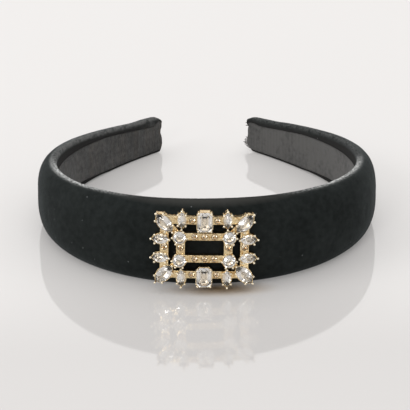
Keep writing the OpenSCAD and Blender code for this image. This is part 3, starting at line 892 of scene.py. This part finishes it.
tuft = add_node(pile, "GeometryNodeTransform", {"Geometry": tuft, "Translation": sunk}).outputs[0]
stray = add_node(pile, "FunctionNodeRandomValue", {
    0: (-1, -1, -1), 1: (1, 1, 1), "Seed": given["Seed"]}, data_type="FLOAT_VECTOR").outputs[0]
standing = vector_maths(
    pile, "ADD", roots["Normal"], vector_maths(pile, "SCALE", stray, given["Lean"]))
turned = add_node(pile, "FunctionNodeAlignRotationToVector", {"Vector": standing}, axis="Z").outputs[0]
tall = add_node(pile, "FunctionNodeRandomValue", {
    2: TUFT_SHORTEST, 3: TUFT_LONGEST, "Seed": given["Seed"]}, data_type="FLOAT").outputs[1]
tufts = add_node(pile, "GeometryNodeInstanceOnPoints", {
    "Points": roots["Points"], "Instance": tuft, "Rotation": turned, "Scale": tall}).outputs[0]
finish_tree(pile, tufts, given["Material"])
tufts = made_by(
    "velvet_pile", pile, cloth=cover, tuft_length=0.0008, tuft_width=0.00015, tufts_on_crest=3.4e7,
    tufts_below=1.1e6, clear_of_buckle=0.021, clear_of_floor=0.0018, lean=0.6, seed=4,
    material=velvet)
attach(tufts, "root")

# Lint: pale fibres and specks of dust caught in the pile. One function lays fine threads along
# given paths; it also makes the ribbon's frayed ends.
LINT_FIBRES = 44
LINT_RADIUS = 0.03
SPECK_RADIUS = 0.19
# Where the fibres lie and how they run: places and lengths in mm, angles and curls in radians
LINT_PLACES = (-175, 175)
LINT_ANGLES = (0.1, 1.8)
LINT_LENGTHS = (0.6, 2.2)
LINT_CURLS = (-2.5, 2.5)
SPECK_LENGTHS = (0.35, 0.7)
SPECK_CURL = 1
LINT_STEPS = 6
# How high a fibre's middle is lifted, in radii
LINT_LIFT = 3
LINT_GREY = (0.3, 0.31, 0.32, 1)
LINT_PALE = (0.6, 0.61, 0.61, 1)
LINT_SCALE = 120
LINT_PATCHES = (0.35, 0.65)
# Columns: place along the band and angle down from the crest, of the largest specks
LINT_SPECKS = [(-76, 0.35), (-72, 0.9), (-5.6, 0.5), (10, 0.3), (73, 0.35), (82, 0.7), (88, 1.1),
               (-60, 0.2), (-98, 0.6), (58, 0.25), (66, 1.2), (95, 0.4)]
THREAD_SIDES = 3
# A direction that no thread follows, from which its rings are turned
NO_THREAD_WAY = Vector((0.3, 0.2, 0.93))


def thread_piece(name, threads, material):
    """Fine threads, each a path of points and a radius in metres, closed to a point at its ends."""
    corners = []
    faces = []
    for path_points, radius in threads:
        first = len(corners)
        rings = len(path_points) - 2
        last = first + 1 + THREAD_SIDES * rings
        corners.append(path_points[0])
        for place in range(1, rings + 1):
            ahead = (path_points[place + 1] - path_points[place - 1]).normalized()
            side = ahead.cross(NO_THREAD_WAY).normalized()
            top = ahead.cross(side)
            for turn in range(THREAD_SIDES):
                angle = turn * math.tau / THREAD_SIDES
                corners.append(
                    path_points[place] + (side * math.cos(angle) + top * math.sin(angle)) * radius)
        corners.append(path_points[-1])
        for turn in range(THREAD_SIDES):
            one = first + 1 + turn
            other = first + 1 + (turn + 1) % THREAD_SIDES
            faces.append((first, other, one))
            for step in range(0, THREAD_SIDES * (rings - 1), THREAD_SIDES):
                faces.append((one + step, other + step,
                              other + step + THREAD_SIDES, one + step + THREAD_SIDES))
            step = THREAD_SIDES * (rings - 1)
            faces.append((one + step, other + step, last))
    mesh = bpy.data.meshes.new(name)
    mesh.from_pydata(corners, [], faces)
    mesh.materials.append(material)
    made = add_object(name, mesh)
    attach(made, "root")
    return made


surface = BVHTree.FromObject(cover, bpy.context.evaluated_depsgraph_get())


def lint_thread(along, angle, length, heading, curl, radius):
    """A thread that lies on the cover, with its middle lifted off it. Lengths are in mm."""
    at = np.array([along])
    line, outward, ahead = path_at(at)
    out = padding_at(at) * math.sin(angle) * MM
    up = width_at(at)[0] / 2 * (1 + math.cos(angle)) * MM
    spot = Vector(line[0] + outward[0] * out) + Vector((0, up * band_slope, up))
    spot, normal, face, distance = surface.find_nearest(spot)
    step = normal.cross(Vector((0, 0, 1))).normalized() * length * MM / LINT_STEPS
    step.rotate(Matrix.Rotation(heading, 3, normal))
    points = []
    for place in range(LINT_STEPS + 1):
        near, normal, face, distance = surface.find_nearest(spot)
        lift = radius * (1 + LINT_LIFT * math.sin(math.pi * place / LINT_STEPS))
        points.append(near + normal * lift)
        spot = near + step
        step.rotate(Matrix.Rotation(curl / LINT_STEPS, 3, normal))
    return points, radius


def speckled(tree, scale, patches, low, high):
    """Two colours in patches, by a noise on the piece's own place."""
    share = spread(tree, noise(tree, object_place(tree), scale, detail=2), *patches)
    return blend_colours(tree, share, low, high)


chance = np.random.default_rng(7)
lint_threads = [
    lint_thread(chance.uniform(*LINT_PLACES), chance.uniform(*LINT_ANGLES),
                chance.uniform(*LINT_LENGTHS), chance.uniform(0, math.tau),
                chance.uniform(*LINT_CURLS), LINT_RADIUS * MM)
    for fibre in range(LINT_FIBRES)]
lint_threads += [
    lint_thread(along, angle, chance.uniform(*SPECK_LENGTHS), chance.uniform(0, math.tau),
                SPECK_CURL, SPECK_RADIUS * MM)
    for along, angle in LINT_SPECKS]
dust, tree, shader = new_material("lint_fibres", roughness=0.9)
feed(shader, "Base Color", speckled(tree, LINT_SCALE, LINT_PATCHES, LINT_GREY, LINT_PALE))
thread_piece("lint_fibres", lint_threads, dust)

# The lining: a grosgrain ribbon glued into the bed between the velvet's turned edges, with ribs
# across its width. It is one strip, cut narrower towards the tips.
RIBBON_THICKNESS = 1
RIBBON_BED = 0.1
RIB_PITCH = 0.95
RIB_DEPTH = 0.06
RIBBON_SPACING = RIB_PITCH / 6
RIBBON_END = 0.3
RIBBON_ROWS_UP = 10
RIBBON_EDGE = 0.25
RIBBON_DARK = (0.026, 0.026, 0.026, 1)
RIBBON_GREY = (0.102, 0.103, 0.102, 1)
RIBBON_BROWN = (0.120, 0.104, 0.088, 1)
# The threads' noise, drawn out across the ribbon, and the shares that make up the ribbon's tone
THREAD_SCALE = 2600
THREAD_STRETCH = (1, 0.2, 1)
THREAD_SHARE = 0.4
PATCH_SHARE = 0.6
RIB_SHADE_SHARE = 0.3
TONE_RANGE = (0.2, 0.8)
# The ribbon is browner in places, and over its last millimetres from BROWN_FROM to BROWN_TO
BROWN_SCALE = 45
BROWN_PATCHES = (0.46, 0.7)
BROWN_FROM = 7
BROWN_TO = 2
ribbon, tree, shader = new_material(
    "grey_grosgrain", roughness=0.85, sheen_weight=0.2, sheen_roughness=0.5, specular_ior_level=0.3)
pattern = tree.nodes.new("ShaderNodeTexCoord").outputs["UV"]
# The filling threads stand proud between fine grooves, and each one's tone is its own. The grooves
# are painted darker and the ribs paler, a painted shade that follows the ribs
along_here = apart(tree, pattern)["X"]
rib_groove_shade = maths(tree, "COSINE", times(tree, along_here, math.tau / (RIB_PITCH * MM)))
threads = noise(tree, add_node(tree, "ShaderNodeMapping", {
    "Vector": pattern, "Scale": THREAD_STRETCH}).outputs[0], THREAD_SCALE, detail=2)
patches = use_group(tree, mottle, broad=70, fine=500, share=0.45)["Patches"]
tone = maths(tree, "ADD", times(tree, threads, THREAD_SHARE), times(tree, patches, PATCH_SHARE))
tone = maths(tree, "ADD", tone, times(tree, rib_groove_shade, RIB_SHADE_SHARE))
tone = spread(tree, tone, *TONE_RANGE)
cut_end = spread(tree, maths(tree, "ABSOLUTE", along_here),
                 (half_length - BROWN_FROM) * MM, (half_length - BROWN_TO) * MM)
warmth = maths(tree, "MAXIMUM", cut_end, spread(
    tree, noise(tree, pattern, BROWN_SCALE, detail=2), *BROWN_PATCHES))
feed(shader, "Base Color", blend_colours(
    tree, tone, RIBBON_DARK, blend_colours(tree, warmth, RIBBON_GREY, RIBBON_BROWN)))
feed(shader, "Normal", cloth_bump(tree, threads))

face_out = -RIBBON_BED - RIBBON_THICKNESS + RIB_DEPTH
ribbon_rows = [section_row(0, -1, out=-RIBBON_BED, bed_low=1)]
ribbon_rows += [section_row(0, -1, out=face_out + RIBBON_EDGE, bed_low=1, ribbed=0.5)]
ribbon_rows += [section_row(0, -1, out=face_out, up=RIBBON_EDGE * (1 - 2 * s),
                            bed_low=1 - s, bed_high=s, ribbed=1)
                for s in np.linspace(0, 1, RIBBON_ROWS_UP + 1)]
ribbon_rows += [section_row(0, -1, out=face_out + RIBBON_EDGE, bed_high=1, ribbed=0.5)]
ribbon_rows += [section_row(0, -1, out=-RIBBON_BED, bed_high=1)]
ribbon_rows += [ribbon_rows[0]]
ribbon_half = np.arange(0, half_length - RIBBON_END, RIBBON_SPACING)
ribbon_along = np.concatenate([-ribbon_half[:0:-1], ribbon_half])
ribbon_low, ribbon_high = ribbon_edges_at(ribbon_along)
still = np.zeros_like(ribbon_along)
lining = made_by(
    "grosgrain_lining", sweep,
    path=path_guide("lining_path", ribbon_along, still, still, still, still, ribbon_low, ribbon_high),
    section=section_guide("lining_section", ribbon_rows),
    columns=len(ribbon_along), rows=len(ribbon_rows), slope=band_slope,
    rib_pitch=RIB_PITCH * MM, rib_depth=RIB_DEPTH * MM, material=ribbon)
shape_tips(lining, forward=0.3, ragged=0.3, short=SHORT_BY)
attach(lining, "root")
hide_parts("ribbon_lining")

# The ribbon's frayed ends: loose threads at the cut lower corner of the right tip, and a few that
# hang over the lower edge of both arms
FRAY_RADIUS = 0.2
FRAY_OUT = -0.9
# How far back under the ribbon's end the threads start
FRAY_ROOT = 0.6
FRAY_POINTS = 6
# Columns: height above the floor, reach beyond the ribbon's end, and how far the thread rises, or
# droops where it is negative, on its way out, in mm
RIGHT_FRAY = [
    (12.6, 0.9, -0.2), (11.4, 1.1, -0.3), (5.6, 0.9, 0.1), (4.8, 1.2, -0.2), (4.2, 1.5, -0.1),
    (3.7, 1.3, -0.2), (3.2, 2.3, -0.3), (2.7, 1.6, 0.1), (2.3, 1.8, -0.3), (1.8, 1.3, -0.3),
    (1.4, 1.2, -0.2), (1.0, 1, -0.1)]
# The threads along the lower edge: how many and how finely made, how far from the tip, how long,
# how slanting, how far they bow inwards and how high they start, in mm, and how thin they are
EDGE_FRAY = 26
EDGE_FRAY_POINTS = 5
EDGE_FRAY_PLACES = (4, 45)
EDGE_FRAY_LENGTHS = (0.4, 0.9)
EDGE_FRAY_DRIFTS = (-0.4, 0.4)
EDGE_FRAY_BOW = 0.5
EDGE_FRAY_START = 0.3
EDGE_FRAY_THIN = 0.6
FRAY_BROWN = (0.025, 0.021, 0.018, 1)
FRAY_PALE = (0.12, 0.11, 0.1, 1)
FRAY_SCALE = 900
FRAY_PATCHES = (0.4, 0.68)


def beside_ribbon(along, out, height, forward=0):
    line, outward, ahead = path_at(np.array([along]))
    place = line[0] + outward[0] * out * MM + ahead[0] * forward * MM
    return Vector(place) + Vector((0, height * band_slope, height)) * MM


fray = []
for height, reach, rise in RIGHT_FRAY:
    end = np.interp(height / TIP_WIDTH, *RIGHT_TIP.T)
    fray.append(([
        beside_ribbon(half_length, FRAY_OUT, height + ARM_LIFT + rise * share ** 2,
                      end - FRAY_ROOT + (reach + FRAY_ROOT) * share)
        for share in np.linspace(0, 1, FRAY_POINTS)], FRAY_RADIUS * MM))
for thread in range(EDGE_FRAY):
    along = chance.choice([-1, 1]) * (half_length - chance.uniform(*EDGE_FRAY_PLACES))
    height = ribbon_edges_at(np.array([along]))[0][0] + ARM_LIFT
    length = chance.uniform(*EDGE_FRAY_LENGTHS)
    drift = chance.uniform(*EDGE_FRAY_DRIFTS)
    fray.append(([
        beside_ribbon(along + drift * share, FRAY_OUT - EDGE_FRAY_BOW * math.sin(math.pi * share),
                      height + EDGE_FRAY_START - length * share)
        for share in np.linspace(0, 1, EDGE_FRAY_POINTS)], FRAY_RADIUS * MM * EDGE_FRAY_THIN))
loose, tree, shader = new_material("loose_threads", roughness=0.9)
feed(shader, "Base Color", speckled(tree, FRAY_SCALE, FRAY_PATCHES, FRAY_BROWN, FRAY_PALE))
thread_piece("frayed_threads", fray, loose)

# The buckle: a cast and soldered frame of two rectangles with cups and claws, plated in pale gold.
# The plating is thin and deep brown in the recesses, tarnish with painted shade, and bright along the
# edges; the claws are painted paler, a painted highlight.
GOLD_PALE = (0.96, 0.77, 0.46, 1)
GOLD_TARNISH_AND_SHADE = (0.6, 0.37, 0.15, 1)
GOLD_CLAW_HIGHLIGHT = (0.98, 0.87, 0.66, 1)
# The middle of the back of the buckle's bars, its lean in degrees, and the radius it is bent to
BUCKLE_LEFT = 0.002
BUCKLE_FRONT = 0.00725493
BUCKLE_HEIGHT = 0.0194
BUCKLE_LEAN = 6
BUCKLE_BEND = 0.095
# How far in front of that back the recesses' tarnish and painted shade fade out, and the claws'
# painted highlight begins
RECESS_SHADE_BELOW = (0.0022, 0.0006)
CLAW_HIGHLIGHT_ABOVE = (0.0033, 0.0037)
# The beads are about a millimetre across. The plating is brown in the gaps, tarnish with painted
# shade between the beads.
BEAD_SCALE = 1150
BEAD_SCATTER = 0.7
BEAD_STRENGTH = 0.4
BEAD_DEPTH = 0.00025
BEAD_GAPS = (0.38, 0.6)
TARNISHED = (0.2, 0.6)
GOLD_ROUGHNESS = (0.12, 0.3)
EDGE_ROUNDING = 0.00025


def refinish(node, material):
    """Gives a node of the frame a better material."""
    node.data.materials.clear()
    node.data.materials.append(material)


lean = math.radians(BUCKLE_LEAN)
forwards = (0, -math.cos(lean), math.sin(lean))
gold, tree, shader = new_material("pale_gold", metallic=1)
place = object_place(tree)
from_middle = vector_maths(
    tree, "SUBTRACT", place, (-BUCKLE_LEFT, line_front * MM - BUCKLE_FRONT, BUCKLE_HEIGHT))
sideways = apart(tree, from_middle)["X"]
above_back = vector_maths(tree, "DOT_PRODUCT", from_middle, forwards, output="Value")
above_back = maths(tree, "ADD", above_back, maths(
    tree, "DIVIDE", times(tree, sideways, sideways), 2 * BUCKLE_BEND))
# Tarnish and painted shade turn the recesses near the back deep brown
recess_shade = spread(tree, above_back, *RECESS_SHADE_BELOW)
# A painted highlight turns the front of the claws pale
claw_highlight = spread(tree, above_back, *CLAW_HIGHLIGHT_ABOVE)
tarnish = use_group(tree, mottle, broad=260, fine=1500)["Patches"]
# The bars' faces are grained with small beads, with brown between them: tarnished plating and
# painted shade
beads = add_node(tree, "ShaderNodeTexVoronoi", {
    "Vector": place, "Scale": BEAD_SCALE, "Randomness": BEAD_SCATTER}).outputs["Distance"]
bead_gap_tarnish_and_shade = times(tree, spread(tree, beads, *BEAD_GAPS), spread(tree, tarnish, *TARNISHED))
colour = blend_colours(tree, bead_gap_tarnish_and_shade, GOLD_PALE, GOLD_TARNISH_AND_SHADE)
colour = blend_colours(tree, recess_shade, colour, GOLD_TARNISH_AND_SHADE)
colour = blend_colours(tree, claw_highlight, colour, GOLD_CLAW_HIGHLIGHT)
feed(shader, "Base Color", colour)
feed(shader, "Roughness", spread(tree, tarnish, 0, 1, *GOLD_ROUGHNESS))
rounded = add_node(tree, "ShaderNodeBevel", {"Radius": EDGE_ROUNDING}, samples=4).outputs[0]
feed(shader, "Normal", add_node(tree, "ShaderNodeBump", {
    "Height": beads, "Strength": BEAD_STRENGTH, "Distance": BEAD_DEPTH, "Normal": rounded},
    invert=True).outputs[0])
refinish(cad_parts["buckle_frame"], gold)

# The stones: clear cut glass, and champagne glass for the small ones in the bars
CLEAR = (1, 0.975, 0.93, 1)
CHAMPAGNE = (0.94, 0.76, 0.52, 1)
GLASS_IOR = 1.6
glass, champagne = (
    new_material(name, base_color=colour, roughness=0, ior=GLASS_IOR, transmission_weight=1)[0]
    for name, colour in (("clear_glass", CLEAR), ("champagne_glass", CHAMPAGNE)))
stone_nodes = {name: node for name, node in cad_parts.items()
               if name not in ("velvet_band", "ribbon_lining", "buckle_frame")}
for name, node in stone_nodes.items():
    refinish(node, champagne if name == "pave_stones" else glass)

# The backs of the stones are silvered: a thin foil lies close behind each pavilion
FOIL_COLOUR = (1, 0.92, 0.8, 1)
FOIL_GAP = 0.00003
FOIL_THICKNESS = 0.00002
# The facets that look further forwards than this have no foil
FOIL_FACES_BACK = -0.2
silver = new_material("stone_foil", base_color=FOIL_COLOUR, metallic=1, roughness=0.24)[0]
foil_mesh = bpy.data.meshes.new("stone_foil")
foils = bmesh.new()
for node in stone_nodes.values():
    foils.from_mesh(node.data)
bmesh.ops.remove_doubles(foils, verts=foils.verts, dist=JOIN_WITHIN)
fronts = [face for face in foils.faces if face.normal.dot(Vector(forwards)) > FOIL_FACES_BACK]
bmesh.ops.delete(foils, geom=fronts, context="FACES")
foils.normal_update()
for vertex in foils.verts:
    vertex.co += vertex.normal * FOIL_GAP
bmesh.ops.solidify(foils, geom=foils.faces[:], thickness=-FOIL_THICKNESS)
foils.to_mesh(foil_mesh)
foils.free()
foil_mesh.materials.append(silver)
foil = add_object("stone_foil", foil_mesh)
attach(foil, "root")

for spare in ("cover_path", "cover_section", "lining_path", "lining_section"):
    bpy.data.objects.remove(bpy.data.objects[spare])
